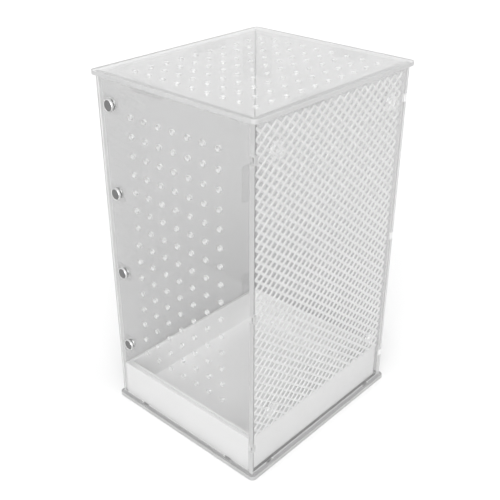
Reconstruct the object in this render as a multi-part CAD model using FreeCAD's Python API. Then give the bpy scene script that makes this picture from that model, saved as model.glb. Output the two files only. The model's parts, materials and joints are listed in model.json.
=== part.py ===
# Reptile terrarium of clear acrylic sheet: three fixed walls on a base plate, a hinged side door that
# magnets hold shut, a lift-off vented lid, a white litter tray and a climbing net.
# Millimetres, +Z up, origin on the floor under the middle of the base. The vented wall faces -Y, the net
# is on the +X wall and the door is the -X wall.

import FreeCAD
import Part
import math
import os

# Sheet, plates and overall size
sheet = 3.0
plate_width = 140.0
plate_depth = 157.5
total_height = 257.2
plate_corner_radius = 3.7
overhang = 2.7
fit_clearance = 0.1
cut_overrun = 1.0

# Tab joints between the walls, and from the walls to the base
side_tab_count = 3
side_tab_height = 5.0
side_tab_inset = 21.8
base_tab_width = 6.0
base_tab_relief = 0.2
front_base_tab_inset = 24.3
right_base_tab_inset = 18.5

# Vent holes of the front wall
front_vent_diameter = 3.2
front_vent_columns = 7
front_vent_rows = 15
front_vent_left_margin = 30.8
front_vent_right_margin = 27.9
front_vent_bottom_margin = 49.7
front_vent_top_margin = 21.6

# Vent holes of the lid
lid_vent_diameter = 3.2
lid_vent_columns = 9
lid_vent_rows = 10
lid_vent_left_margin = 24.1
lid_vent_right_margin = 15.1
lid_vent_front_margin = 17.5
lid_vent_back_margin = 21.9

# Blocks under the lid that centre it between the walls
guide_length = 27.0
guide_height = 5.0
guide_thickness = 3.0
guide_offset = 22.5
guide_clearance = 0.4

# Door panel and its three hinges on the outside of the back left corner
door_gap = 0.5
swing_clearance = 0.35
hinge_count = 3
hinge_bottom_margin = 29.0
hinge_top_margin = 19.2
hinge_leaf_width = 16.0
hinge_leaf_height = 32.0
hinge_leaf_thickness = 1.2
hinge_leaf_corner_radius = 2.5
hinge_barrel_radius = 1.3
hinge_pin_diameter = 1.3
hinge_running_clearance = 0.05
hinge_clearance = 0.3

# Magnets in the front wall, and those in the holders on the door
magnet_count = 4
magnet_diameter = 8.0
magnet_bottom_margin = 47.8
magnet_top_margin = 18.6
magnet_edge_distance = 9.9
magnet_glue_clearance = 0.05
door_magnet_thickness = 1.0
holder_backing = 0.4
holder_rim = 1.8
holder_corner_radius = 2.0

# Litter tray, and the board that stands between it and the front wall
tray_height = 28.0
tray_wall = 2.0
tray_floor = 2.0
tray_clearance = 0.3
tray_outer_radius = 0.8
tray_inner_radius = 0.5

# Climbing net on the inside of the right wall
net_thickness = 1.2
net_strand = 2.0
net_columns = 10
net_rows = 14
net_front_margin = 0.8
net_back_margin = 3.3
net_bottom_margin = 2.0
net_top_margin = 4.2

# Clear rivets that clamp the net, each in the second gap from the corner
rivet_gap_index = 1
rivet_head_diameter = 12.0
rivet_head_thickness = 1.2
rivet_stem_diameter = 3.0
rivet_clearance = 0.1
cap_diameter = 12.0
cap_thickness = 0.8
rivet_edge_radius = 0.5

# Planes that the pieces share
wall_right = plate_width / 2 - overhang
wall_left = -wall_right
wall_back = plate_depth / 2 - overhang
wall_front = -wall_back
wall_bottom = sheet
wall_top = total_height - sheet
inner_right = wall_right - sheet
inner_left = wall_left + sheet
inner_back = wall_back - sheet
inner_front = wall_front + sheet
hinge_x = wall_left - hinge_barrel_radius
hinge_y = wall_back + hinge_barrel_radius
net_inner = inner_right - net_thickness
cap_inner = net_inner - cap_thickness
tray_top = wall_bottom + tray_height
magnet_x = wall_left + magnet_edge_distance
holder_far = magnet_x + magnet_diameter / 2 + holder_rim
swing_radius = hinge_y - inner_front - swing_clearance
door_front = hinge_y - math.sqrt(swing_radius ** 2 - (inner_left - hinge_x) ** 2)
holder_front = hinge_y - math.sqrt(swing_radius ** 2 - (holder_far - hinge_x) ** 2)
holder_back = holder_front + door_magnet_thickness + holder_backing
tray_left = inner_left + tray_clearance
tray_right = cap_inner - tray_clearance
tray_front = holder_back + tray_clearance
tray_back = inner_back - tray_clearance
net_front = inner_front + net_front_margin
net_back = inner_back - net_back_margin
net_bottom = tray_top + net_bottom_margin
net_top = wall_top - net_top_margin
net_pitch_y = (net_back - net_front) / net_columns
net_pitch_z = (net_top - net_bottom) / net_rows


def across(y):
    """Place points of a panel that stands across X, at the given Y."""
    return lambda u, v: FreeCAD.Vector(u, y, v)


def along(x):
    """Place points of a panel that stands along Y, at the given X."""
    return lambda u, v: FreeCAD.Vector(x, u, v)


def level(z):
    """Place points of a panel that lies flat, at the given Z."""
    return lambda u, v: FreeCAD.Vector(u, v, z)


def box(x0, x1, y0, y1, z0, z1):
    """A block between two corners."""
    return Part.makeBox(x1 - x0, y1 - y0, z1 - z0, FreeCAD.Vector(x0, y0, z0))


def polygon(points, place):
    """A closed wire through flat points."""
    corners = [place(u, v) for u, v in points]
    return Part.makePolygon(corners + corners[:1])


def rectangle(u0, u1, v0, v1, place):
    """A rectangular wire."""
    return polygon([(u0, v0), (u1, v0), (u1, v1), (u0, v1)], place)


def rounded_rectangle(u0, u1, v0, v1, radius, place):
    """A rectangular wire with round corners."""
    near = radius * (1 - math.sqrt(0.5))
    edges = []
    corners = [
        ((u1 - radius, v0), (u1 - near, v0 + near), (u1, v0 + radius)),
        ((u1, v1 - radius), (u1 - near, v1 - near), (u1 - radius, v1)),
        ((u0 + radius, v1), (u0 + near, v1 - near), (u0, v1 - radius)),
        ((u0, v0 + radius), (u0 + near, v0 + near), (u0 + radius, v0)),
    ]
    last = corners[-1][-1]
    for start, middle, end in corners:
        edges.append(Part.LineSegment(place(*last), place(*start)).toShape())
        edges.append(Part.Arc(place(*start), place(*middle), place(*end)).toShape())
        last = end
    return Part.Wire(edges)


def round_wires(centres, diameter, place, axis):
    """Circular wires for the holes of a panel."""
    return [Part.Wire(Part.makeCircle(diameter / 2, place(u, v), axis)) for u, v in centres]


def panel(outline, holes, thickness):
    """A sheet with holes, extruded by its thickness vector."""
    return Part.makeFace([outline] + holes, "Part::FaceMakerBullseye").extrude(thickness)


def stepped_edge(start, end, outward, steps, width, reach):
    """Points along one edge of a panel, with a tab at each step, or a notch where reach is negative."""
    length = math.dist(start, end)
    way = ((end[0] - start[0]) / length, (end[1] - start[1]) / length)
    points = [start]
    for step in steps:
        for distance, out in ((step - width / 2, 0), (step - width / 2, reach),
                              (step + width / 2, reach), (step + width / 2, 0)):
            u = start[0] + way[0] * distance + outward[0] * out
            v = start[1] + way[1] * distance + outward[1] * out
            points.append((u, v))
    return points


def spread(low, high, count):
    """Evenly spaced places from low to high."""
    return [low + (high - low) * index / (count - 1) for index in range(count)]


def side_tab_steps():
    """Distances of the side tabs from the bottom edge of a wall."""
    return spread(side_tab_inset, wall_top - wall_bottom - side_tab_inset, side_tab_count)


def front_base_tabs():
    """X of the base tabs of the front and back walls."""
    return [wall_left + front_base_tab_inset, wall_right - front_base_tab_inset]


def right_base_tabs():
    """Y of the base tabs of the right wall."""
    return [wall_front + right_base_tab_inset, wall_back - right_base_tab_inset]


def magnet_heights():
    """Z of the magnets."""
    return spread(wall_bottom + magnet_bottom_margin, wall_top - magnet_top_margin, magnet_count)


def hinge_heights():
    """Z of the middles of the hinges."""
    return spread(wall_bottom + hinge_bottom_margin, wall_top - hinge_top_margin, hinge_count)


def plate_outline(place):
    """Outline that the base and the lid share."""
    return rounded_rectangle(-plate_width / 2, plate_width / 2, -plate_depth / 2, plate_depth / 2,
                             plate_corner_radius, place)


def base_plate():
    """Base with a slot for each wall tab."""
    place = level(0)
    slack = fit_clearance
    half_slot = base_tab_width / 2 + slack
    slots = []
    for x in front_base_tabs():
        for y0, y1 in ((wall_front, inner_front), (inner_back, wall_back)):
            slots.append(rectangle(x - half_slot, x + half_slot, y0 - slack, y1 + slack, place))
    for y in right_base_tabs():
        slots.append(rectangle(inner_right - slack, wall_right + slack, y - half_slot, y + half_slot, place))
    return panel(plate_outline(place), slots, FreeCAD.Vector(0, 0, sheet))


def cross_wall_outline(left, place):
    """Outline of a wall across X, with tabs into the base and into the right wall."""
    base_steps = [x - left for x in front_base_tabs()]
    points = stepped_edge((left, wall_bottom), (inner_right, wall_bottom), (0, -1), base_steps,
                          base_tab_width, sheet - base_tab_relief)
    points += stepped_edge((inner_right, wall_bottom), (inner_right, wall_top), (1, 0), side_tab_steps(),
                           side_tab_height, sheet)
    points += [(inner_right, wall_top), (left, wall_top)]
    return polygon(points, place)


def front_wall():
    """Vented wall with the magnet holes along its free edge."""
    place = across(wall_front)
    facing = FreeCAD.Vector(0, 1, 0)
    columns = spread(wall_left + front_vent_left_margin, wall_right - front_vent_right_margin,
                     front_vent_columns)
    rows = spread(wall_bottom + front_vent_bottom_margin, wall_top - front_vent_top_margin, front_vent_rows)
    holes = round_wires([(x, z) for x in columns for z in rows], front_vent_diameter, place, facing)
    holes += round_wires([(magnet_x, z) for z in magnet_heights()],
                         magnet_diameter + 2 * magnet_glue_clearance, place, facing)
    return panel(cross_wall_outline(wall_left, place), holes, facing * sheet)


def back_wall():
    """Plain wall that ends just clear of the door's hinge leaves."""
    outline = cross_wall_outline(wall_left + hinge_clearance, across(inner_back))
    return panel(outline, [], FreeCAD.Vector(0, sheet, 0))


def rivet_places():
    """Y and Z of the rivets that clamp the net."""
    inset_y = rivet_gap_index * net_pitch_y
    inset_z = rivet_gap_index * net_pitch_z
    return [(y, z) for z in (net_bottom + inset_z, net_top - inset_z)
            for y in (net_front + inset_y, net_back - inset_y)]


def right_wall():
    """Wall that laps the ends of the front and back walls and carries the net."""
    place = along(inner_right)
    facing = FreeCAD.Vector(1, 0, 0)
    height = wall_top - wall_bottom
    notch = side_tab_height + 2 * fit_clearance
    base_steps = [y - wall_front for y in right_base_tabs()]
    points = stepped_edge((wall_front, wall_bottom), (wall_back, wall_bottom), (0, -1), base_steps,
                          base_tab_width, sheet - base_tab_relief)
    points += stepped_edge((wall_back, wall_bottom), (wall_back, wall_top), (1, 0), side_tab_steps(),
                           notch, -sheet)
    points.append((wall_back, wall_top))
    down_steps = [height - step for step in reversed(side_tab_steps())]
    points += stepped_edge((wall_front, wall_top), (wall_front, wall_bottom), (-1, 0), down_steps,
                           notch, -sheet)
    holes = round_wires(rivet_places(), rivet_stem_diameter + 2 * rivet_clearance, place, facing)
    return panel(polygon(points, place), holes, facing * sheet)


def left_door():
    """Door panel between the front and back walls."""
    return box(wall_left, inner_left, door_front, inner_back - door_gap,
               wall_bottom + door_gap, wall_top - door_gap)


def lid_plate():
    """Lid with its grid of vent holes."""
    place = level(wall_top)
    up = FreeCAD.Vector(0, 0, 1)
    columns = spread(lid_vent_left_margin - plate_width / 2, plate_width / 2 - lid_vent_right_margin,
                     lid_vent_columns)
    rows = spread(lid_vent_front_margin - plate_depth / 2, plate_depth / 2 - lid_vent_back_margin,
                  lid_vent_rows)
    holes = round_wires([(x, y) for x in columns for y in rows], lid_vent_diameter, place, up)
    return panel(plate_outline(place), holes, up * sheet)


def lid_guides():
    """Four blocks under the lid, one inside each side, named by side."""
    near = guide_offset - guide_length / 2
    far = guide_offset + guide_length / 2
    heights = (wall_top - guide_height, wall_top)
    front = inner_front + guide_clearance
    back = inner_back - guide_clearance
    left = inner_left + guide_clearance
    right = net_inner - guide_clearance
    return {
        "lid_guide_front": box(-far, -near, front, front + guide_thickness, *heights),
        "lid_guide_right": box(right - guide_thickness, right, -far, -near, *heights),
        "lid_guide_back": box(near, far, back - guide_thickness, back, *heights),
        "lid_guide_left": box(left, left + guide_thickness, near, far, *heights),
    }


def front_magnet(z):
    """Magnet flush in the front wall."""
    return Part.makeCylinder(magnet_diameter / 2, sheet, FreeCAD.Vector(magnet_x, wall_front, z),
                             FreeCAD.Vector(0, 1, 0))


def round_edges(shape, radius, axis, wanted):
    """Fillet the edges that run along an axis and whose ends pass a test."""
    picked = []
    for edge in shape.Edges:
        ends = [vertex.Point for vertex in edge.Vertexes]
        if len(ends) != 2:
            continue
        run = (ends[1] - ends[0]).normalize()
        if math.isclose(abs(run.dot(axis)), 1) and all(wanted(point) for point in ends):
            picked.append(edge)
    return shape.makeFillet(radius, picked)


def magnet_holder(z):
    """Clear tab on the door, behind the front wall, with a pocket for its magnet."""
    half_height = magnet_diameter / 2 + holder_rim
    tab = box(inner_left, holder_far, holder_front, holder_back, z - half_height, z + half_height)
    tab = round_edges(tab, holder_corner_radius, FreeCAD.Vector(0, 1, 0),
                      lambda point: math.isclose(point.x, holder_far))
    mouth = FreeCAD.Vector(magnet_x, holder_front - cut_overrun, z)
    pocket = Part.makeCylinder(magnet_diameter / 2 + magnet_glue_clearance,
                               door_magnet_thickness + cut_overrun, mouth, FreeCAD.Vector(0, 1, 0))
    return tab.cut(pocket)


def door_magnet(z):
    """Magnet in the pocket of a holder."""
    return Part.makeCylinder(magnet_diameter / 2, door_magnet_thickness,
                             FreeCAD.Vector(magnet_x, holder_front, z), FreeCAD.Vector(0, 1, 0))


def back_leaf_place(out, off):
    """Hinge leaf on the back wall: it runs to +X from the pin."""
    return hinge_x + out, hinge_y + off


def door_leaf_place(out, off):
    """Hinge leaf on the door: it runs to -Y from the pin."""
    return hinge_x - off, hinge_y - out


def knuckle_section(place, z):
    """Face of a leaf that rolls round the pin, seen along the pin."""
    radius = hinge_barrel_radius
    reach = radius + hinge_leaf_width
    top = hinge_leaf_thickness - radius
    meet = math.sqrt(radius ** 2 - top ** 2)
    middle = (math.atan2(top, meet) + 1.5 * math.pi) / 2
    flat = level(z)
    start, end, edge, joint = [flat(*place(out, off)) for out, off in
                               ((0, -radius), (reach, -radius), (reach, top), (meet, top))]
    crown = flat(*place(radius * math.cos(middle), radius * math.sin(middle)))
    edges = [Part.LineSegment(start, end).toShape(), Part.LineSegment(end, edge).toShape(),
             Part.LineSegment(edge, joint).toShape(), Part.Arc(joint, crown, start).toShape()]
    return Part.Face(Part.Wire(edges))


def plain_section(place, z):
    """Face of a leaf where it stops short of the other leaf's knuckle."""
    radius = hinge_barrel_radius
    near = radius + hinge_clearance
    reach = radius + hinge_leaf_width
    top = hinge_leaf_thickness - radius
    corners = [place(out, off) for out, off in ((near, -radius), (reach, -radius), (reach, top), (near, top))]
    return Part.Face(polygon(corners, level(z)))


def hinge_leaf(z, place, run, end_test, knuckles):
    """One leaf with its knuckles: each third of its height either rolls round the pin or stops short."""
    bottom = z - hinge_leaf_height / 2
    knuckle = (hinge_leaf_height - 2 * hinge_clearance) / 3
    starts = [bottom, bottom + knuckle, bottom + knuckle + hinge_clearance,
              bottom + 2 * knuckle + hinge_clearance, bottom + 2 * (knuckle + hinge_clearance),
              bottom + hinge_leaf_height]
    leaf = None
    for start, end, index in zip(starts, starts[1:], (0, None, 1, None, 2)):
        section = knuckle_section if index in knuckles else plain_section
        piece = section(place, start).extrude(FreeCAD.Vector(0, 0, end - start))
        leaf = piece if leaf is None else leaf.fuse(piece)
    leaf = leaf.removeSplitter()
    leaf = round_edges(leaf, hinge_leaf_corner_radius, run, end_test)
    bore = Part.makeCylinder(hinge_pin_diameter / 2 + hinge_running_clearance,
                             hinge_leaf_height + 2 * cut_overrun,
                             FreeCAD.Vector(hinge_x, hinge_y, bottom - cut_overrun))
    return leaf.cut(bore)


def hinge_back_leaf(z):
    """Leaf on the back wall, with the outer two knuckles."""
    far = hinge_x + hinge_barrel_radius + hinge_leaf_width
    return hinge_leaf(z, back_leaf_place, FreeCAD.Vector(0, 1, 0),
                      lambda point: math.isclose(point.x, far), (0, 2))


def hinge_door_leaf(z):
    """Leaf on the door, with the middle knuckle."""
    far = hinge_y - hinge_barrel_radius - hinge_leaf_width
    return hinge_leaf(z, door_leaf_place, FreeCAD.Vector(1, 0, 0),
                      lambda point: math.isclose(point.y, far), (1,))


def hinge_pin(z):
    """Pin held in the back leaf's knuckles."""
    return Part.makeCylinder(hinge_pin_diameter / 2, hinge_leaf_height,
                             FreeCAD.Vector(hinge_x, hinge_y, z - hinge_leaf_height / 2))


def tray():
    """Open tray that fills the base, clear of the magnet holders and of the net's caps as it lifts out."""
    shell = Part.Face(rounded_rectangle(tray_left, tray_right, tray_front, tray_back, tray_outer_radius,
                                        level(wall_bottom)))
    hollow = Part.Face(rounded_rectangle(tray_left + tray_wall, tray_right - tray_wall, tray_front + tray_wall,
                                         tray_back - tray_wall, tray_inner_radius,
                                         level(wall_bottom + tray_floor)))
    shell = shell.extrude(FreeCAD.Vector(0, 0, tray_height))
    return shell.cut(hollow.extrude(FreeCAD.Vector(0, 0, tray_height - tray_floor + cut_overrun)))


def front_board():
    """White board on the inside of the front wall, which fills the room in front of the tray."""
    return box(tray_left, tray_right, inner_front, holder_back, wall_bottom, tray_top)


def net_shrink():
    """Share of a mesh cell that is open, from the strand's width."""
    half_y = net_pitch_y / 2
    half_z = net_pitch_z / 2
    to_side = half_y * half_z / math.hypot(half_y, half_z)
    return 1 - net_strand / 2 / to_side


def net_outline(open_y, open_z):
    """Edge of the net, cut through the middle of its outer cells so that it ends in teeth."""
    ys = [net_front + index * net_pitch_y for index in range(net_columns + 1)]
    zs = [net_bottom + index * net_pitch_z for index in range(net_rows + 1)]
    points = [(net_front + open_y, net_bottom)]
    for y in ys[1:-1]:
        points += [(y - open_y, net_bottom), (y, net_bottom + open_z), (y + open_y, net_bottom)]
    points += [(net_back - open_y, net_bottom), (net_back, net_bottom + open_z)]
    for z in zs[1:-1]:
        points += [(net_back, z - open_z), (net_back - open_y, z), (net_back, z + open_z)]
    points += [(net_back, net_top - open_z), (net_back - open_y, net_top)]
    for y in reversed(ys[1:-1]):
        points += [(y + open_y, net_top), (y, net_top - open_z), (y - open_y, net_top)]
    points += [(net_front + open_y, net_top), (net_front, net_top - open_z)]
    for z in reversed(zs[1:-1]):
        points += [(net_front, z + open_z), (net_front + open_y, z), (net_front, z - open_z)]
    points.append((net_front, net_bottom + open_z))
    return points


def mesh_screen():
    """Net of diamond gaps against the right wall."""
    place = along(net_inner)
    open_y = net_shrink() * net_pitch_y / 2
    open_z = net_shrink() * net_pitch_z / 2
    centres = [(column, row) for column in range(1, net_columns) for row in range(1, net_rows)]
    centres += [(column + 0.5, row + 0.5) for column in range(net_columns) for row in range(net_rows)]
    gaps = []
    for column, row in centres:
        y = net_front + column * net_pitch_y
        z = net_bottom + row * net_pitch_z
        gaps.append(polygon([(y - open_y, z), (y, z - open_z), (y + open_y, z), (y, z + open_z)], place))
    print("net gaps:", len(gaps))
    return panel(polygon(net_outline(open_y, open_z), place), gaps, FreeCAD.Vector(net_thickness, 0, 0))


def round_rim(shape, radius, x):
    """Fillet the circular edge at the given X."""
    rims = [edge for edge in shape.Edges if math.isclose(edge.CenterOfMass.x, x)
            and all(math.isclose(vertex.Point.x, x) for vertex in edge.Vertexes)]
    return shape.makeFillet(radius, rims)


def mesh_rivet(y, z):
    """Clear rivet: a flat head outside the right wall, and a stem through wall, net and cap."""
    inward = FreeCAD.Vector(-1, 0, 0)
    top = FreeCAD.Vector(wall_right + rivet_head_thickness, y, z)
    head = Part.makeCylinder(rivet_head_diameter / 2, rivet_head_thickness, top, inward)
    head = round_rim(head, rivet_edge_radius, top.x)
    stem = Part.makeCylinder(rivet_stem_diameter / 2, top.x - cap_inner, top, inward)
    return head.fuse(stem).removeSplitter()


def rivet_cap(y, z):
    """Clear cap that presses the net to the wall, on the end of a rivet's stem."""
    inward = FreeCAD.Vector(-1, 0, 0)
    cap = Part.makeCylinder(cap_diameter / 2, cap_thickness, FreeCAD.Vector(net_inner, y, z), inward)
    cap = round_rim(cap, rivet_edge_radius, cap_inner)
    bore = Part.makeCylinder(rivet_stem_diameter / 2 + rivet_clearance, cap_thickness + 2 * cut_overrun,
                             FreeCAD.Vector(net_inner + cut_overrun, y, z), inward)
    return cap.cut(bore)


def all_parts():
    """Every piece by its node's name."""
    parts = {
        "base_plate": base_plate(),
        "front_wall": front_wall(),
        "right_wall": right_wall(),
        "back_wall": back_wall(),
        "left_door": left_door(),
        "lid_plate": lid_plate(),
        "tray": tray(),
        "front_board": front_board(),
        "mesh_screen": mesh_screen(),
    }
    parts.update(lid_guides())
    for number, z in enumerate(magnet_heights(), 1):
        parts[f"front_magnet_{number}"] = front_magnet(z)
        parts[f"magnet_holder_{number}"] = magnet_holder(z)
        parts[f"door_magnet_{number}"] = door_magnet(z)
    for number, z in enumerate(hinge_heights(), 1):
        parts[f"hinge_back_leaf_{number}"] = hinge_back_leaf(z)
        parts[f"hinge_door_leaf_{number}"] = hinge_door_leaf(z)
        parts[f"hinge_pin_{number}"] = hinge_pin(z)
    for number, (y, z) in enumerate(rivet_places(), 1):
        parts[f"mesh_rivet_{number}"] = mesh_rivet(y, z)
        parts[f"rivet_cap_{number}"] = rivet_cap(y, z)
    return parts


os.makedirs("parts", exist_ok=True)
for name, shape in all_parts().items():
    assert shape.isValid() and len(shape.Solids) == 1, name
    shape.exportStep(f"parts/{name}.step")
    print(name, round(shape.Volume, 1))
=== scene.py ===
# Looks of a clear acrylic reptile box: chamfered sheets, white tray, climbing net, magnets and hinges
import json
import math

import bmesh
import bpy
from mathutils import Euler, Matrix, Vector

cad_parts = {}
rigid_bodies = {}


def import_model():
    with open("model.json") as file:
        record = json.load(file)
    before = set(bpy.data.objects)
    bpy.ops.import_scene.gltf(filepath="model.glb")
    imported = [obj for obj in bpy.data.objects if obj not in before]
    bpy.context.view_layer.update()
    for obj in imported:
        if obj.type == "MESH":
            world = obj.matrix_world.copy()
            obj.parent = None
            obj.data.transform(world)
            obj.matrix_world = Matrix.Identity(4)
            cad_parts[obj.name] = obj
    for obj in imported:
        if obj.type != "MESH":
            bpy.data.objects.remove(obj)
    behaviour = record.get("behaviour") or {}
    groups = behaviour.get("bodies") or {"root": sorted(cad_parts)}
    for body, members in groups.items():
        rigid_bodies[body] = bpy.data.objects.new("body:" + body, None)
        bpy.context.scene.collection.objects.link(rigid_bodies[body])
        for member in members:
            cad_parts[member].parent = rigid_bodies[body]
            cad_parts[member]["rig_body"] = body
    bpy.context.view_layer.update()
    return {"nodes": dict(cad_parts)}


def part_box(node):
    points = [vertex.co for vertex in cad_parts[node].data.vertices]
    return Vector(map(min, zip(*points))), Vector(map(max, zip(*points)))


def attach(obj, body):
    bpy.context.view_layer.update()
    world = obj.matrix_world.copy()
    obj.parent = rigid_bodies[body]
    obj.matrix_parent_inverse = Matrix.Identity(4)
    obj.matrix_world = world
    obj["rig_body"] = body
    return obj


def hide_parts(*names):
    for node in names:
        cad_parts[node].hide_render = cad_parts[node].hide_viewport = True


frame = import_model()
nodes = frame["nodes"]
scene = bpy.context.scene
scene.view_settings.view_transform = "Standard"
mm = 0.001


# Helpers for materials

def linear(hex_colour):
    """An sRGB hex colour as linear red, green, blue and alpha."""
    parts = [int(hex_colour[i:i + 2], 16) / 255 for i in (1, 3, 5)]
    return [p / 12.92 if p <= 0.04045 else ((p + 0.055) / 1.055) ** 2.4 for p in parts] + [1.0]


def add(tree, kind, values=None, links=None, **settings):
    """One node with its settings, the plain values of its inputs and the sockets that feed others."""
    node = tree.nodes.new(kind)
    for name, value in settings.items():
        setattr(node, name, value)
    for socket, value in (values or {}).items():
        node.inputs[socket].default_value = value
    for socket, source in (links or {}).items():
        tree.links.new(source, node.inputs[socket])
    return node


def new_material(name):
    """An empty node material and its tree."""
    material = bpy.data.materials.new(name)
    material.use_nodes = True
    material.node_tree.nodes.clear()
    return material, material.node_tree


# Clear plastics

acrylic_ior = 1.49
sheet_haze_mm = 22
small_haze_mm = 4
# The span of a haze that is spread from the low to the high roughness
haze_low, haze_high = 0.35, 0.75
# How fast the gloss of a small piece grows towards a grazing view, and how far
grazing_power, grazing_shine = 5.0, 0.9


def clear_plastic(name, colour, shadow_colour, clearness, rough_low, rough_high, wave_mm, wave_height_mm):
    """Clear plastic with faint handling haze and a slow wave in its face. Lamps shine through it."""
    material, tree = new_material(name)
    place = add(tree, "ShaderNodeTexCoord").outputs["Object"]
    haze = add(tree, "ShaderNodeTexNoise",
               {"Scale": 1 / (sheet_haze_mm * mm), "Detail": 5.0, "Roughness": 0.6}, {"Vector": place})
    rough = add(tree, "ShaderNodeMapRange",
                {"From Min": haze_low, "From Max": haze_high, "To Min": rough_low, "To Max": rough_high},
                {"Value": haze.outputs["Fac"]})
    wave = add(tree, "ShaderNodeTexNoise",
               {"Scale": 1 / (wave_mm * mm), "Detail": 0.0}, {"Vector": place})
    bump = add(tree, "ShaderNodeBump", {"Strength": 1.0, "Distance": wave_height_mm * mm},
               {"Height": wave.outputs["Fac"]})
    plastic = add(tree, "ShaderNodeBsdfPrincipled",
                  {"Base Color": linear(colour), "Transmission Weight": clearness, "IOR": acrylic_ior},
                  {"Roughness": rough.outputs["Result"], "Normal": bump.outputs["Normal"]})
    shade = add(tree, "ShaderNodeBsdfTransparent", {"Color": linear(shadow_colour)})
    path = add(tree, "ShaderNodeLightPath")
    soft = add(tree, "ShaderNodeMixShader", None, {
        0: path.outputs["Is Diffuse Ray"], 1: plastic.outputs["BSDF"], 2: shade.outputs["BSDF"]})
    whole = add(tree, "ShaderNodeMixShader", None, {
        0: path.outputs["Is Shadow Ray"], 1: soft.outputs["Shader"], 2: shade.outputs["BSDF"]})
    add(tree, "ShaderNodeOutputMaterial", None, {"Surface": whole.outputs["Shader"]})
    return material


cast_face = {"rough_low": 0.0, "rough_high": 0.02, "wave_mm": 70, "wave_height_mm": 0.002}
laser_cut = {"rough_low": 0.3, "rough_high": 0.45, "wave_mm": 3, "wave_height_mm": 0.01}
# Cast acrylic sheet of the front wall, cell cast between glass plates: near mirror flat, with a faint grey
# in its depth that is deepened as painted shade, so the front wall looks greyer than the lid
acrylic_front_tint_and_shade = clear_plastic("cast_acrylic_front_sheet_tint_and_shade", "#DDDDDD", "#F6F6F6", clearness=1.0, **cast_face)
# The right wall's sheet is the same acrylic with a deeper grey: painted shade, so the net's gaps look grey
# behind it
acrylic_side_tint_and_shade = clear_plastic("cast_acrylic_side_sheet", "#DADADA", "#F6F6F6", clearness=1.0, **cast_face)
# The lid's sheet is the same acrylic with a paler grey than the walls: painted light, so the lid looks
# brighter
acrylic_lid_tint_and_painted_light = clear_plastic("cast_acrylic_lid_sheet", "#E8E8E8", "#F6F6F6", clearness=1.0, **cast_face)
# The sheets of the back and the door are the same acrylic with a darker shadow colour than the others: a
# deepened, painted shadow, so that the box's soft shadow shows darker through the front
acrylic_far_deep_shadow = clear_plastic("cast_acrylic_far_sheet", "#DEDEDE", "#B0B0B0", clearness=1.0, **cast_face)
# Laser cut acrylic edge: a satin cut that scatters the light the sheet carries to it
acrylic_edge = clear_plastic("laser_cut_acrylic_edge", "#B6B6B6", "#F0F0F0", clearness=0.2, **laser_cut)
# Wall end that faces away from the key lamp, or is seen through another sheet: the same satin cut painted
# paler, painted light on an edge in shade, so that the seam beside it stays light
edge_in_shade_painted_light = clear_plastic("acrylic_edge_painted_light", "#E0E0E0", "#F0F0F0", clearness=0.2, **laser_cut)
# Wall of a laser cut hole: partly clear, where the heat of the cut has glazed it
vent_wall = clear_plastic("laser_cut_hole_wall", "#E0E0E0", "#F0F0F0", clearness=0.36, **laser_cut)
# Lip of that hole: frosted white, so it shows as a pale ring
vent_lip = clear_plastic("laser_cut_hole_lip", "#FFFFFF", "#F0F0F0", clearness=0.05, **laser_cut)
# The base sheet and its cut edge are painted a darker grey: painted shade for the little light that comes
# back up through a sheet that lies on the floor, so its edge looks grey
base_face_painted_shade = clear_plastic("cast_acrylic_base_painted_shade", "#C4C4C4", "#EEEEEE", clearness=1.0, **cast_face)
base_edge_painted_shade = clear_plastic("laser_cut_base_edge", "#B0B0B0", "#ECECEC", clearness=0.2, **laser_cut)


def faint_plastic(name, colour, milk, least_shine, rough_low, rough_high, ripple_mm, ripple_height_mm):
    """A small clear piece that lies against a sheet: it hardly bends what is behind it, and shows by its
    gloss and by the little milk in it."""
    material, tree = new_material(name)
    place = add(tree, "ShaderNodeTexCoord").outputs["Object"]
    haze = add(tree, "ShaderNodeTexNoise",
               {"Scale": 1 / (small_haze_mm * mm), "Detail": 3.0}, {"Vector": place})
    rough = add(tree, "ShaderNodeMapRange",
                {"From Min": haze_low, "From Max": haze_high, "To Min": rough_low, "To Max": rough_high},
                {"Value": haze.outputs["Fac"]})
    ripple = add(tree, "ShaderNodeTexNoise",
                 {"Scale": 1 / (ripple_mm * mm), "Detail": 1.0}, {"Vector": place})
    bump = add(tree, "ShaderNodeBump", {"Strength": 1.0, "Distance": ripple_height_mm * mm},
               {"Height": ripple.outputs["Fac"]})
    slant = add(tree, "ShaderNodeLayerWeight", {"Blend": 0.5}, {"Normal": bump.outputs["Normal"]})
    steep = add(tree, "ShaderNodeMath", {1: grazing_power}, {0: slant.outputs["Facing"]}, operation="POWER")
    shine = add(tree, "ShaderNodeMapRange", {"To Min": least_shine, "To Max": grazing_shine},
                {"Value": steep.outputs[0]})
    clear = add(tree, "ShaderNodeBsdfTransparent", {"Color": linear(colour)})
    cloud = add(tree, "ShaderNodeBsdfDiffuse", {"Color": linear("#F6F6F6")},
                {"Normal": bump.outputs["Normal"]})
    body = add(tree, "ShaderNodeMixShader", {0: milk},
               {1: clear.outputs["BSDF"], 2: cloud.outputs["BSDF"]})
    gloss = add(tree, "ShaderNodeBsdfGlossy", {"Color": linear("#FFFFFF")},
                {"Roughness": rough.outputs["Result"], "Normal": bump.outputs["Normal"]})
    both = add(tree, "ShaderNodeMixShader", None, {
        0: shine.outputs["Result"], 1: body.outputs["Shader"], 2: gloss.outputs["BSDF"]})
    add(tree, "ShaderNodeOutputMaterial", None, {"Surface": both.outputs["Shader"]})
    return material


# Small acrylic blocks, glued to a sheet, so that the joint hardly shows
acrylic_block = faint_plastic("glued_acrylic_block", "#FAFAFA", milk=0.0, least_shine=0.03,
                              rough_low=0.02, rough_high=0.06, ripple_mm=20, ripple_height_mm=0.005)
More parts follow.
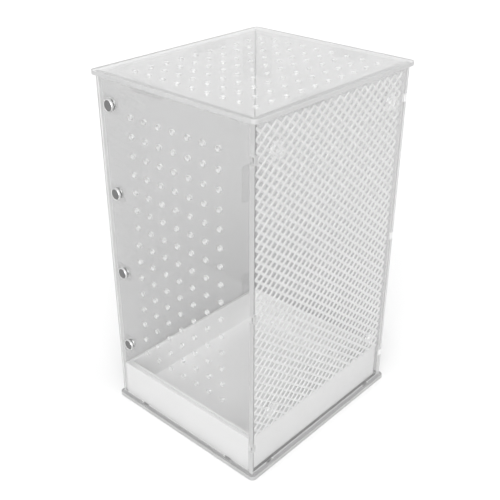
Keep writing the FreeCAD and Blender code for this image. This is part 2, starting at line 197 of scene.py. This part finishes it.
# Clear vinyl hinge, extruded: soft gloss and a slight milkiness
hinge_vinyl = faint_plastic("extruded_clear_vinyl", "#FFFFFF", milk=0.02, least_shine=0.03,
                            rough_low=0.06, rough_high=0.16, ripple_mm=3, ripple_height_mm=0.03)
# Cut end or barrel of that vinyl: frosted, so it shows as a pale line
vinyl_edge = faint_plastic("cut_vinyl_edge", "#FFFFFF", milk=0.2, least_shine=0.12,
                           rough_low=0.2, rough_high=0.35, ripple_mm=2, ripple_height_mm=0.05)
# Clear polycarbonate rivet, moulded: bright glints on its flow marks
rivet_plastic = faint_plastic("moulded_clear_polycarbonate", "#FCFCFC", milk=0.08, least_shine=0.06,
                              rough_low=0.03, rough_high=0.1, ripple_mm=2.5, ripple_height_mm=0.25)


# Solid plastics and metals

mottle_low, mottle_high = 0.3, 0.7
grain_strength = 0.6


def solid_finish(name, colour, shade, mottle_mm, rough_low, rough_high, grain_mm, grain_height_mm,
                 metallic=0.0):
    """An opaque finish: two near tones in soft mottles, uneven gloss and a fine surface grain."""
    material, tree = new_material(name)
    place = add(tree, "ShaderNodeTexCoord").outputs["Object"]
    mottle = add(tree, "ShaderNodeTexNoise",
                 {"Scale": 1 / (mottle_mm * mm), "Detail": 4.0}, {"Vector": place})
    tone = add(tree, "ShaderNodeMix", {6: linear(shade), 7: linear(colour)}, {0: mottle.outputs["Fac"]},
               data_type="RGBA")
    rough = add(tree, "ShaderNodeMapRange",
                {"From Min": mottle_low, "From Max": mottle_high, "To Min": rough_low, "To Max": rough_high},
                {"Value": mottle.outputs["Fac"]})
    grain = add(tree, "ShaderNodeTexNoise",
                {"Scale": 1 / (grain_mm * mm), "Detail": 3.0}, {"Vector": place})
    bump = add(tree, "ShaderNodeBump", {"Strength": grain_strength, "Distance": grain_height_mm * mm},
               {"Height": grain.outputs["Fac"]})
    surface = add(tree, "ShaderNodeBsdfPrincipled", {"Metallic": metallic}, {
        "Base Color": tone.outputs[2], "Roughness": rough.outputs["Result"],
        "Normal": bump.outputs["Normal"]})
    add(tree, "ShaderNodeOutputMaterial", None, {"Surface": surface.outputs["BSDF"]})
    return material


# White PVC foam board, cut and glued into a tray: soft gloss, an even white, a faint orange peel
tray_white = solid_finish("white_pvc_foam_board", "#F4F4F4", "#F0F0F0", mottle_mm=30,
                          rough_low=0.38, rough_high=0.5, grain_mm=0.8, grain_height_mm=0.02)
# White polyethylene net, extruded: waxy half gloss, slightly uneven strands
net_white = solid_finish("extruded_white_polyethylene", "#F0F0F0", "#EAEAEA", mottle_mm=8,
                         rough_low=0.35, rough_high=0.5, grain_mm=1.2, grain_height_mm=0.05)
# Nickel plated magnet: its ground face is painted dark grey, a painted reflection of a grey room
nickel_face_painted_reflection = solid_finish("ground_nickel_face", "#828282", "#767676", mottle_mm=3, rough_low=0.4,
                           rough_high=0.55, grain_mm=0.6, grain_height_mm=0.005, metallic=1.0)
# The rolled rim of that magnet: bright plating that catches the light
nickel_rim = solid_finish("bright_nickel_rim", "#EDEDED", "#E2E2E2", mottle_mm=3, rough_low=0.2,
                          rough_high=0.35, grain_mm=0.6, grain_height_mm=0.005, metallic=1.0)
# Drawn steel pin, bright
pin_steel = solid_finish("drawn_steel_pin", "#A8A8A8", "#989898", mottle_mm=2, rough_low=0.25,
                         rough_high=0.4, grain_mm=0.5, grain_height_mm=0.005, metallic=1.0)


# Shaping of the pieces

weld_mm = 0.001
same_plane = math.radians(0.5)
sharp_angle = math.radians(30)
# A face counts as flat, as a hole's lip, or as one that looks back or left, from these parts of its normal
flat_level = 0.99
lip_level = 0.3
back_level = 0.6
# Edges and faces further than this from a sheet's outline belong to its holes
hole_inset_mm = 4


def break_edges(shape, inside, lip_mm, chamfer_mm):
    """Chamfers the sharp edges: those of holes by the lip, the others by the chamfer."""
    for in_hole, width_mm in ((True, lip_mm), (False, chamfer_mm)):
        sharp = [e for e in shape.edges
                 if len(e.link_faces) == 2 and e.calc_face_angle() > sharp_angle
                 and inside((e.verts[0].co + e.verts[1].co) / 2) == in_hole]
        if sharp and width_mm:
            bmesh.ops.bevel(shape, geom=sharp, offset=width_mm * mm, offset_type="OFFSET", segments=1,
                            profile=0.5, affect="EDGES", clamp_overlap=True)
    shape.normal_update()


def refill(shape, axis):
    """Fills the two flat sides of a sheet afresh, around all its holes, so that no wide face folds over
    itself."""
    for way in (-1, 1):
        faces = [f for f in shape.faces if f.normal[axis] * way > flat_level]
        rim = [e for e in shape.edges
               if sum(f.normal[axis] * way > flat_level for f in e.link_faces) == 1]
        bmesh.ops.delete(shape, geom=faces, context="FACES_KEEP_BOUNDARY")
        bmesh.ops.triangle_fill(shape, edges=rim, use_beauty=True)
    bmesh.ops.recalc_face_normals(shape, faces=shape.faces)
    shape.normal_update()


def draw_in(shape, flat_axes, gap_mm):
    """Moves all faces inwards by the gap. Flat faces stay flat."""
    for corner in shape.verts:
        step = corner.normal * gap_mm * mm
        for face in corner.link_faces:
            for axis in flat_axes:
                if abs(face.normal[axis]) > flat_level:
                    step[axis] = math.copysign(gap_mm * mm, face.normal[axis])
        corner.co -= step


def finished(node, slot, face_finish, chamfer_mm=0.0, flat_axes=(), edge_finish=None, painted_light_finish=None,
             hole_finishes=(), lip_mm=0.0, gap_mm=0.0):
    """Puts a copy of the node with broken edges in its place. Faces square to the flat axes keep the face
    finish, holes well inside a sheet have one finish for the wall and one for the lip, and other faces take
    the edge finish, or, where they look back or left into the key lamp's shade, the painted light finish: a
    paler edge painted light. The gap draws all faces in, so that two clear pieces that touch keep a film of
    air between them."""
    low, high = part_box(node)
    across = [i for i in range(3) if i not in flat_axes]
    finishes = [f for f in (face_finish, edge_finish, *hole_finishes, painted_light_finish) if f is not None]

    def inside(point):
        """Whether a point lies well inside the outline of a sheet with holes."""
        inset = min(min(point[i] - low[i], high[i] - point[i]) for i in across)
        return bool(hole_finishes) and inset > hole_inset_mm * mm

    shape = bmesh.new()
    shape.from_mesh(nodes[node].data)
    bmesh.ops.remove_doubles(shape, verts=shape.verts, dist=weld_mm * mm)
    bmesh.ops.dissolve_limit(shape, angle_limit=same_plane, verts=shape.verts, edges=shape.edges)
    break_edges(shape, inside, lip_mm, chamfer_mm)
    if len(flat_axes) == 1:
        refill(shape, flat_axes[0])
    for face in shape.faces:
        level = max((abs(face.normal[i]) for i in flat_axes), default=0.0)
        face.smooth = level < flat_level
        if edge_finish is not None and level < flat_level:
            in_hole = inside(face.calc_center_median())
            face.material_index = 1 + in_hole * (1 + (level > lip_level))
            # A face that looks back or left lies in the key lamp's shade and takes the painted light finish
            if painted_light_finish is not None and not in_hole and face.normal.y - face.normal.x > back_level:
                face.material_index = len(finishes) - 1
    for edge in shape.edges:
        edge.smooth = len(edge.link_faces) == 2 and edge.calc_face_angle() < sharp_angle
    draw_in(shape, flat_axes, gap_mm)
    mesh = bpy.data.meshes.new(node + "_finished")
    shape.to_mesh(mesh)
    shape.free()
    for finish in finishes:
        mesh.materials.append(finish)
    piece = bpy.data.objects.new(node + "_finished", mesh)
    scene.collection.objects.link(piece)
    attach(piece, nodes[node]["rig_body"])
    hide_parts(node)


# Pieces. A sheet's flat axis is that of its thickness

air_film_mm = 0.03
# The tints of the front, right and lid sheets hold painted shade or painted light, the back and door sheets
# cast a deepened shadow, and wall ends that look back or left take a paler edge, painted light
sheets = {
    "lid_plate": {"face_finish": acrylic_lid_tint_and_painted_light, "flat_axes": (2,), "edge_finish": acrylic_edge,
                  "lip_mm": 0.25},
    "front_wall": {"face_finish": acrylic_front_tint_and_shade, "flat_axes": (1,), "edge_finish": acrylic_edge,
                   "painted_light_finish": edge_in_shade_painted_light, "lip_mm": 0.4},
    "right_wall": {"face_finish": acrylic_side_tint_and_shade, "flat_axes": (0,), "edge_finish": acrylic_edge,
                   "painted_light_finish": edge_in_shade_painted_light, "lip_mm": 0.25},
    "back_wall": {"face_finish": acrylic_far_deep_shadow, "flat_axes": (1,), "edge_finish": edge_in_shade_painted_light,
                  "lip_mm": 0.25},
    "left_door": {"face_finish": acrylic_far_deep_shadow, "flat_axes": (0,), "edge_finish": edge_in_shade_painted_light,
                  "lip_mm": 0.25},
}
for sheet, looks in sheets.items():
    finished(sheet, "clear_acrylic", chamfer_mm=0.25, hole_finishes=(vent_wall, vent_lip),
             gap_mm=air_film_mm, **looks)
finished("base_plate", "clear_acrylic", base_face_painted_shade, chamfer_mm=0.25, flat_axes=(2,), edge_finish=base_edge_painted_shade,
         gap_mm=air_film_mm)
for side in ("front", "right", "back", "left"):
    finished(f"lid_guide_{side}", "clear_acrylic", acrylic_block, chamfer_mm=0.2, gap_mm=air_film_mm)
finished("tray", "white_tray_plastic", tray_white, chamfer_mm=0.2)
finished("front_board", "white_tray_plastic", tray_white, chamfer_mm=0.15, gap_mm=air_film_mm)
for number in range(1, 5):
    finished(f"front_magnet_{number}", "nickel_magnet", nickel_face_painted_reflection, chamfer_mm=0.35, flat_axes=(1,),
             edge_finish=nickel_rim)
    finished(f"door_magnet_{number}", "nickel_magnet", nickel_rim, chamfer_mm=0.2)
    finished(f"magnet_holder_{number}", "clear_acrylic", acrylic_block, chamfer_mm=0.15, gap_mm=air_film_mm)
    for part in ("mesh_rivet", "rivet_cap"):
        finished(f"{part}_{number}", "clear_rivet_plastic", rivet_plastic, chamfer_mm=0.15,
                 gap_mm=air_film_mm)
for number in range(1, 4):
    for leaf in ("back", "door"):
        finished(f"hinge_{leaf}_leaf_{number}", "clear_hinge_plastic", hinge_vinyl, chamfer_mm=0.3,
                 flat_axes=(0, 1), edge_finish=vinyl_edge, gap_mm=air_film_mm)
    finished(f"hinge_pin_{number}", "hinge_pin_steel", pin_steel, chamfer_mm=0.1)


# Climbing net

points_per_strand = 4
waver_mm = 9
stand_up = (math.pi / 2, 0, math.pi / 2)


def net_tree():
    """A diamond net, cell by cell: each cell is two flat strands that cross, laid out in the XY plane,
    wavered a little, and stood up in the YZ plane."""
    tree = bpy.data.node_groups.new("climbing_net", "GeometryNodeTree")
    wanted = [("Width", "NodeSocketFloat"), ("Height", "NodeSocketFloat"),
              ("Columns", "NodeSocketInt"), ("Rows", "NodeSocketInt"),
              ("Strand width", "NodeSocketFloat"), ("Strand depth", "NodeSocketFloat"),
              ("Strand rounding", "NodeSocketFloat"), ("Strand offset", "NodeSocketFloat"),
              ("Unevenness", "NodeSocketFloat"), ("Corner", "NodeSocketVector"),
              ("Finish", "NodeSocketMaterial")]
    for name, kind in wanted:
        tree.interface.new_socket(name, in_out="INPUT", socket_type=kind)
    tree.interface.new_socket("Net", in_out="OUTPUT", socket_type="NodeSocketGeometry")
    size = add(tree, "NodeGroupInput").outputs

    # One cell, a unit wide and high: the second strand lies behind the first
    rising = add(tree, "GeometryNodeCurvePrimitiveLine", {"Start": (0, 0, 0), "End": (1, 1, 0)})
    falling = add(tree, "GeometryNodeCurvePrimitiveLine", {"Start": (0, 1, 0), "End": (1, 0, 0)})
    behind = add(tree, "ShaderNodeCombineXYZ", None, {"Z": size["Strand offset"]})
    lowered = add(tree, "GeometryNodeTransform", None,
                  {"Geometry": falling.outputs["Curve"], "Translation": behind.outputs["Vector"]})
    cell = add(tree, "GeometryNodeJoinGeometry", None, {"Geometry": rising.outputs["Curve"]})
    tree.links.new(lowered.outputs["Geometry"], cell.inputs["Geometry"])

    # A column of cells, then a row of columns
    column_spots = add(tree, "GeometryNodeMeshLine", {"Offset": (0, 1, 0)}, {"Count": size["Rows"]})
    column = add(tree, "GeometryNodeInstanceOnPoints", None,
                 {"Points": column_spots.outputs["Mesh"], "Instance": cell.outputs["Geometry"]})
    row_spots = add(tree, "GeometryNodeMeshLine", {"Offset": (1, 0, 0)}, {"Count": size["Columns"]})
    field = add(tree, "GeometryNodeInstanceOnPoints", None,
                {"Points": row_spots.outputs["Mesh"], "Instance": column.outputs["Instances"]})
    loose = add(tree, "GeometryNodeRealizeInstances", None, {"Geometry": field.outputs["Instances"]})
    cell_wide = add(tree, "ShaderNodeMath", None, {0: size["Width"], 1: size["Columns"]},
                    operation="DIVIDE")
    cell_high = add(tree, "ShaderNodeMath", None, {0: size["Height"], 1: size["Rows"]},
                    operation="DIVIDE")
    stretch = add(tree, "ShaderNodeCombineXYZ", {"Z": 1.0},
                  {"X": cell_wide.outputs[0], "Y": cell_high.outputs[0]})
    laid = add(tree, "GeometryNodeTransform", None,
               {"Geometry": loose.outputs["Geometry"], "Scale": stretch.outputs["Vector"]})

    # Strands waver, and stay in the plane of the net
    spaced = add(tree, "GeometryNodeResampleCurve", {"Count": points_per_strand},
                 {"Curve": laid.outputs["Geometry"]}, mode="COUNT")
    spot = add(tree, "GeometryNodeInputPosition").outputs["Position"]
    waver = add(tree, "ShaderNodeTexNoise", {"Scale": 1 / (waver_mm * mm), "Detail": 1.0},
                {"Vector": spot})
    centred = add(tree, "ShaderNodeVectorMath", {1: (0.5, 0.5, 0.5)}, {0: waver.outputs["Color"]},
                  operation="SUBTRACT")
    flat = add(tree, "ShaderNodeVectorMath", {1: (1.0, 1.0, 0.0)}, {0: centred.outputs["Vector"]},
               operation="MULTIPLY")
    shift = add(tree, "ShaderNodeVectorMath", None,
                {0: flat.outputs["Vector"], "Scale": size["Unevenness"]}, operation="SCALE")
    drawn = add(tree, "GeometryNodeSetPosition", None,
                {"Geometry": spaced.outputs["Curve"], "Offset": shift.outputs["Vector"]})
    level = add(tree, "GeometryNodeSetCurveNormal", None, {"Curve": drawn.outputs["Geometry"]},
                mode="Z_UP")

    # A flat strand with rounded sides
    outline = add(tree, "GeometryNodeCurvePrimitiveQuadrilateral", None,
                  {"Width": size["Strand width"], "Height": size["Strand depth"]})
    rounded = add(tree, "GeometryNodeFilletCurve", {"Count": 1, "Limit Radius": True},
                  {"Curve": outline.outputs["Curve"], "Radius": size["Strand rounding"]}, mode="POLY")
    strands = add(tree, "GeometryNodeCurveToMesh", {"Fill Caps": True},
                  {"Curve": level.outputs["Curve"], "Profile Curve": rounded.outputs["Curve"]})
    upright = add(tree, "GeometryNodeTransform", {"Rotation": stand_up},
                  {"Geometry": strands.outputs["Mesh"], "Translation": size["Corner"]})
    whole = add(tree, "GeometryNodeRealizeInstances", None, {"Geometry": upright.outputs["Geometry"]})
    dressed = add(tree, "GeometryNodeSetMaterial", None,
                  {"Geometry": whole.outputs["Geometry"], "Material": size["Finish"]})
    add(tree, "NodeGroupOutput", None, {"Net": dressed.outputs["Geometry"]})
    return tree


def made_by(tree, name, sizes):
    """The plain mesh that a tree makes with these named sizes."""
    source = bpy.data.objects.new(name + "_source", bpy.data.meshes.new(name + "_source"))
    scene.collection.objects.link(source)
    maker = source.modifiers.new("maker", "NODES")
    maker.node_group = tree
    for socket in tree.interface.items_tree:
        if socket.in_out == "INPUT":
            maker[socket.identifier] = sizes[socket.name]
    ready = source.evaluated_get(bpy.context.evaluated_depsgraph_get())
    mesh = bpy.data.meshes.new_from_object(ready)
    bpy.data.objects.remove(source)
    mesh.name = name
    return mesh


net_low, net_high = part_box("mesh_screen")
strand_inset = 0.4 * mm
net_mesh = made_by(net_tree(), "climbing_net", {
    "Width": net_high.y - net_low.y,
    "Height": net_high.z - net_low.z,
    "Columns": 17,
    "Rows": 32,
    "Strand width": 1.9 * mm,
    "Strand depth": 0.5 * mm,
    "Strand rounding": 0.12 * mm,
    "Strand offset": -0.2 * mm,
    "Unevenness": 0.5 * mm,
    "Corner": (net_high.x - strand_inset, net_low.y, net_low.z),
    "Finish": net_white})
net = bpy.data.objects.new("climbing_net", net_mesh)
scene.collection.objects.link(net)
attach(net, "enclosure")
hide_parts("mesh_screen")


# Floor and light

floor_reach = 6.0
floor_height = -0.3 * mm
floor_lift = 0.04
ambient_strength = 0.65
backdrop_strength = 1.0


def rays_that_show(tree, clamp):
    """Counts, for a ray, whether it comes from the camera, off a gloss and through clear plastic."""
    path = add(tree, "ShaderNodeLightPath").outputs
    seen = add(tree, "ShaderNodeMath", None, {0: path["Is Camera Ray"], 1: path["Is Glossy Ray"]},
               operation="ADD")
    shown = add(tree, "ShaderNodeMath", None, {0: seen.outputs[0], 1: path["Is Transmission Ray"]},
                operation="ADD", use_clamp=clamp)
    return shown.outputs[0]


def white_floor():
    """A pale floor that meets the white backdrop and keeps the box's shadow."""
    material, tree = new_material("pale_floor")
    level = add(tree, "ShaderNodeMath", {1: floor_lift}, {0: rays_that_show(tree, clamp=False)},
                operation="MULTIPLY")
    paint = add(tree, "ShaderNodeBsdfDiffuse", {"Color": linear("#DDDDDD")})
    lift = add(tree, "ShaderNodeEmission", {"Color": linear("#FFFFFF")}, {"Strength": level.outputs[0]})
    both = add(tree, "ShaderNodeAddShader", None,
               {0: paint.outputs["BSDF"], 1: lift.outputs["Emission"]})
    add(tree, "ShaderNodeOutputMaterial", None, {"Surface": both.outputs["Shader"]})
    mesh = bpy.data.meshes.new("floor")
    corners = [(x * floor_reach, y * floor_reach, floor_height)
               for x, y in ((-1, -1), (1, -1), (1, 1), (-1, 1))]
    mesh.from_pydata(corners, [], [(0, 1, 2, 3)])
    mesh.materials.append(material)
    floor = bpy.data.objects.new("floor", mesh)
    scene.collection.objects.link(floor)


def studio_world():
    """A white backdrop to look at, and a lower even light on the box."""
    world = bpy.data.worlds.new("studio")
    world.use_nodes = True
    tree = world.node_tree
    tree.nodes.clear()
    ambient = add(tree, "ShaderNodeBackground",
                  {"Color": linear("#FFFFFF"), "Strength": ambient_strength})
    backdrop = add(tree, "ShaderNodeBackground",
                   {"Color": linear("#FFFFFF"), "Strength": backdrop_strength})
    both = add(tree, "ShaderNodeMixShader", None, {
        0: rays_that_show(tree, clamp=True), 1: ambient.outputs["Background"],
        2: backdrop.outputs["Background"]})
    add(tree, "ShaderNodeOutputWorld", None, {"Surface": both.outputs["Shader"]})
    scene.world = world


def distant_softbox(name, azimuth, elevation, spread, strength):
    """A far, wide lamp that faces the box. Azimuth turns from the front towards the right side."""
    lamp = bpy.data.lights.new(name, "SUN")
    lamp.angle = math.radians(spread)
    lamp.energy = strength
    holder = bpy.data.objects.new(name, lamp)
    holder.rotation_euler = Euler((math.radians(90 - elevation), 0, math.radians(azimuth)), "XYZ")
    holder.location = (0.5, -0.5, 1.0)
    scene.collection.objects.link(holder)


white_floor()
studio_world()
distant_softbox("key_softbox", azimuth=40, elevation=24, spread=60, strength=3.15)
distant_softbox("top_softbox", azimuth=40, elevation=88, spread=30, strength=1.3)


# Camera, fitted to the corners of the lid, the base and the walls in the photograph

tilt, roll, turn = 61.20, -0.17, 42.23
lens = bpy.data.cameras.new("camera")
lens.sensor_width = 36.0
lens.sensor_fit = "HORIZONTAL"
lens.lens = 57.09
lens.clip_start = 0.01
lens.clip_end = 50.0
viewer = bpy.data.objects.new("camera", lens)
viewer.location = (0.3337, -0.3737, 0.3975)
viewer.rotation_euler = Euler((math.radians(tilt), math.radians(roll), math.radians(turn)), "XYZ")
scene.collection.objects.link(viewer)
scene.camera = viewer

bpy.context.view_layer.update()
